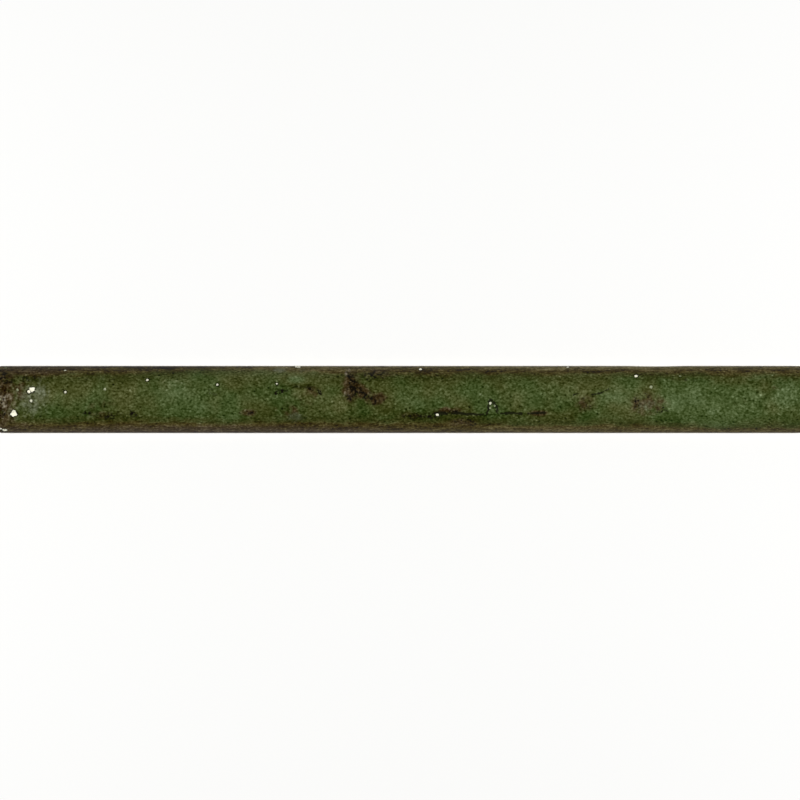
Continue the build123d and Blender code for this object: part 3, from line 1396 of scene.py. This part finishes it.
@dataclass(frozen=True)
class Drawing:
    """How the die draws the section to length, and how finely the blank is divided, in metres."""

    section: Section
    station_pitch: float = 1.05 * MM
    end_stations: int = 4
    rows: int = 3
    mark_margins: tuple[float, ...] = (0.9 * MM, 0.45 * MM)
    face_rise: float = 0.999
    least_cosine: float = 0.001

    def draw(self, piece: bpy.types.Object, material: bpy.types.Material) -> bpy.types.Mesh:
        """Draws the section along the length and rounds the face over at both ends.

        Args:
            piece: the object that the tree runs on.
            material: the finish.

        Returns:
            The drawn blank, on which "rise" goes from 0 on the back to 1 on the face.
        """
        size = self.section
        line = size.back_line()
        back = points_object("back_line", [Vector((0.0, y, z)) for y, z in line])
        straight = size.length - 2 * size.end_round
        mesh = self.tree().run(piece, {
            "Length": size.length,
            "Half Width": size.width / 2,
            "Crown Radius": size.crown_radius,
            "Crown Centre": size.crown_centre,
            "Face Foot": size.back_arris,
            "Shoulder Softness": size.shoulder_softness,
            "End Round": size.end_round,
            "Outer Groove Edge": size.outer_groove_edge,
            "Stations": 2 * (round(straight / 2 / self.station_pitch) + self.end_stations),
            "End Stations": self.end_stations,
            "Columns": len(line) - 1,
            "Rows": self.rows,
            "Back Line": back,
            "Finish": material,
        })
        bpy.data.objects.remove(back)
        return mesh

    def tree(self) -> GeometryTree:
        """Builds the rule of the section: a block whose columns run from the back line to the face.

        Returns:
            The tree.
        """
        tree = GeometryTree("draw_section")
        length, half_width = tree.ask("Length"), tree.ask("Half Width")
        radius, centre = tree.ask("Crown Radius"), tree.ask("Crown Centre")
        foot, softness = tree.ask("Face Foot"), tree.ask("Shoulder Softness")
        end_round, groove_edge = tree.ask("End Round"), tree.ask("Outer Groove Edge")
        stations, end_stations = tree.ask("Stations", Kind.COUNT), tree.ask("End Stations", Kind.COUNT)
        columns, rows = tree.ask("Columns", Kind.COUNT), tree.ask("Rows", Kind.COUNT)
        back = tree.piece(tree.ask("Back Line", Kind.PIECE))
        counts = {"Vertices X": stations + 1, "Vertices Y": columns + 1, "Vertices Z": rows + 1}
        block = tree.node("GeometryNodeMeshCube", counts | {"Size": (1.0, 1.0, 1.0)}).outputs[0]
        along, across, up = tree.split(tree.position())
        rise = up + 0.5
        kept = tree.store(block, "rise", rise)

        # Along the length: even stations, and a quarter round at each end
        from_end = (0.5 - abs(along)) * stations
        turned = (from_end / end_stations).least(1.0) * (math.pi / 2)
        pitch = (length / 2 - end_round) / (stations / 2 - end_stations)
        run = end_round * (1 - tree.math("COSINE", turned)) + (from_end - end_stations).most(0.0) * pitch
        x = tree.math("SIGN", along) * (length / 2 - run)
        inset = end_round * (1 - tree.math("SINE", turned))

        # The face: the crown's radius, cut off by the upright setting edges
        low = tree.math("ARCTAN2", foot - centre, half_width)
        angle = low + (across + 0.5) * (math.pi - 2 * low)
        upright = half_width / abs(tree.math("COSINE", angle)).most(self.least_cosine)
        reach = tree.math("SMOOTH_MIN", radius, upright, softness) - inset
        face_y = tree.math("COSINE", angle) * reach * -1.0
        face_z = centre + tree.math("SINE", angle) * reach

        # The back: one point of its line for each column, drawn in with the face at the ends
        index = tree.math("ROUND", (across + 0.5) * columns)
        _, line_y, line_z = tree.split(tree.sampled(back, tree.position(), index.socket, "FLOAT_VECTOR"))
        pull = abs(line_y).ramp(groove_edge, half_width) * inset
        back_y = line_y - tree.math("SIGN", line_y) * pull

        y = back_y + (face_y - back_y) * rise
        z = line_z + (face_z - line_z) * rise
        shaped = tree.node("GeometryNodeSetPosition", {"Geometry": kept, "Position": tree.joined(x, y, z)})
        tree.close(shaped.outputs[0], tree.ask("Finish", Kind.FINISH))
        return tree

    def refine(self, mesh: bpy.types.Mesh, face: MarkedFace) -> None:
        """Divides the face once all over, and more finely round its marks.

        Args:
            mesh: the drawn blank, which is changed.
            face: the marks on its face.
        """
        shell = bmesh.new()
        shell.from_mesh(mesh)
        rise = shell.verts.layers.float["rise"]
        for margin in (math.inf, *self.mark_margins):
            edges = [e for e in shell.edges if min(v[rise] for v in e.verts) > self.face_rise]
            edges = [e for e in edges if face.near(e, margin)]
            bmesh.ops.subdivide_edges(shell, edges=edges, cuts=1, use_grid_fill=True)
        bmesh.ops.triangulate(shell, faces=[f for f in shell.faces if len(f.verts) > 4])
        shell.to_mesh(mesh)
        shell.free()


@dataclass
class MouldingTile:
    """The tile: its section drawn to length, refined, stained and fired."""

    section: Section
    finish: GlazeFinish
    firing: Firing
    sharp_deg: float = 40.0

    def build(self) -> bpy.types.Object:
        """Makes the tile and puts it in place of the plain solid.

        Returns:
            The finished piece.
        """
        material = self.finish.build()
        face = MarkedFace(self.section)
        drawing = Drawing(self.section)
        piece = bpy.data.objects.new("glazed_moulding", bpy.data.meshes.new("blank"))
        bpy.context.scene.collection.objects.link(piece)
        piece.data = drawing.draw(piece, material)
        drawing.refine(piece.data, face)
        self.stain(piece.data)
        piece.data = self.firing.fire(piece, face, material)
        piece.data.name = "glazed_moulding"
        piece.data.set_sharp_from_angle(angle=math.radians(self.sharp_deg))
        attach(piece, BODY)
        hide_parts(NODE)
        return piece

    def stain(self, mesh: bpy.types.Mesh) -> None:
        """Writes the strength of every tint on the points of the face.

        Args:
            mesh: the refined blank, which is changed.
        """
        flat = np.empty(len(mesh.vertices) * 3)
        mesh.vertices.foreach_get("co", flat)
        points = flat.reshape(-1, 3) / MM
        for tint in Tint:
            spots = [stain.strength_at(points) for stain in STAINS if stain.tint is tint]
            carry(mesh, tint.value, np.max(spots, axis=0).astype(np.float32))


def carry(mesh: bpy.types.Mesh, name: str, values: Sequence[float]) -> None:
    """Writes a number on every point of a mesh.

    Args:
        mesh: the mesh.
        name: what the number is called.
        values: one number for each point.
    """
    layer = mesh.attributes.new(name, "FLOAT", "POINT")
    layer.data.foreach_set("value", values)


def points_object(
    name: str, points: Iterable[Vector], edges: Iterable[tuple[int, int]] = ()
) -> bpy.types.Object:
    """A helper object of bare points, or of lines between them.

    Args:
        name: the object's name.
        points: the points, in metres.
        edges: pairs of points that a line joins.

    Returns:
        The object, in the scene until it is removed.
    """
    mesh = bpy.data.meshes.new(name)
    mesh.from_pydata(list(points), list(edges), [])
    helper = bpy.data.objects.new(name, mesh)
    bpy.context.scene.collection.objects.link(helper)
    return helper


@dataclass(frozen=True)
class SoftLight:
    """A tall soft light, in metres and watts, that faces the middle of the floor."""

    name: str
    place: tuple[float, float, float]
    width: float
    height: float
    power: float

    def build(self) -> bpy.types.Object:
        """Makes the light.

        Returns:
            The light.
        """
        lamp = bpy.data.lights.new(self.name, "AREA")
        lamp.shape = "RECTANGLE"
        lamp.size = self.width
        lamp.size_y = self.height
        lamp.energy = self.power
        light = bpy.data.objects.new(self.name, lamp)
        light.location = self.place
        light.rotation_euler = Vector(self.place).to_track_quat("Z", "Y").to_euler()
        bpy.context.scene.collection.objects.link(light)
        return light


@dataclass
class Studio:
    """The pale floor, the soft lights and the camera straight overhead, in metres.

    The pixels are where the tile lies in the photograph's frame.
    """

    section: Section
    floor_half: float = 3.0
    floor_tone: Colour = (0.86, 0.86, 0.85, 1.0)
    floor_roughness: float = 0.9
    floor_specular: float = 0.1
    air: float = 0.12
    lights: tuple[SoftLight, ...] = (
        SoftLight("left_light", (-1.1, 0.0, 0.95), 0.2, 1.0, 17.6),
        SoftLight("right_light", (1.1, 0.0, 0.95), 0.2, 1.0, 17.6),
    )
    camera_height: float = 8.0
    frame_px: float = 800.0
    tile_left_px: float = -1.6
    tile_top_px: float = 366.0
    tile_bottom_px: float = 433.0

    def build(self) -> None:
        """Sets the whole studio up."""
        self.lay_floor()
        for light in self.lights:
            light.build()
        self.fill_air()
        self.hang_camera()

    def lay_floor(self) -> bpy.types.Object:
        """Lays the plain pale floor just under the tile.

        Returns:
            The floor.
        """
        half = self.floor_half
        corners = [(-half, -half, 0), (half, -half, 0), (half, half, 0), (-half, half, 0)]
        mesh = bpy.data.meshes.new("floor")
        mesh.from_pydata(corners, [], [(0, 1, 2, 3)])
        paint = bpy.data.materials.new("pale_floor")
        paint.use_nodes = True
        shader = paint.node_tree.nodes["Principled BSDF"]
        shader.inputs["Base Color"].default_value = self.floor_tone
        shader.inputs["Roughness"].default_value = self.floor_roughness
        shader.inputs["Specular IOR Level"].default_value = self.floor_specular
        mesh.materials.append(paint)
        floor = bpy.data.objects.new("floor", mesh)
        bpy.context.scene.collection.objects.link(floor)
        return floor

    def fill_air(self) -> None:
        """Lets a little even light in from all round, and shows colours as they are."""
        scene = bpy.context.scene
        scene.world = bpy.data.worlds.new("studio_air")
        scene.world.use_nodes = True
        background = scene.world.node_tree.nodes["Background"]
        background.inputs["Color"].default_value = (1.0, 1.0, 1.0, 1.0)
        background.inputs["Strength"].default_value = self.air
        scene.view_settings.view_transform = "Standard"

    def hang_camera(self) -> bpy.types.Object:
        """Hangs the camera so that the tile fills the frame's width from its left end on.

        Returns:
            The camera.
        """
        px_per_m = (self.tile_bottom_px - self.tile_top_px) / self.section.width
        middle_px = (self.tile_top_px + self.tile_bottom_px) / 2
        lens = bpy.data.cameras.new("overhead")
        lens.lens = lens.sensor_width * self.camera_height * px_per_m / self.frame_px
        camera = bpy.data.objects.new("overhead", lens)
        x = (self.frame_px / 2 - self.tile_left_px) / px_per_m - self.section.length / 2
        y = (middle_px - self.frame_px / 2) / px_per_m
        camera.location = (x, y, self.section.setting_edge + self.camera_height)
        bpy.context.scene.collection.objects.link(camera)
        bpy.context.scene.camera = camera
        return camera


def main() -> None:
    """Builds the tile and its studio in order, and reports each piece."""
    logging.basicConfig(level=logging.INFO, format="%(message)s")
    low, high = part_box(NODE)
    section = Section(*(high - low))
    tile = MouldingTile(section, GlazeFinish(), Firing()).build()
    triangles = sum(len(face.vertices) - 2 for face in tile.data.polygons)
    LOG.info("%s: %d triangles", tile.name, triangles)
    Studio(section).build()


if __name__ == "__main__":
    main()
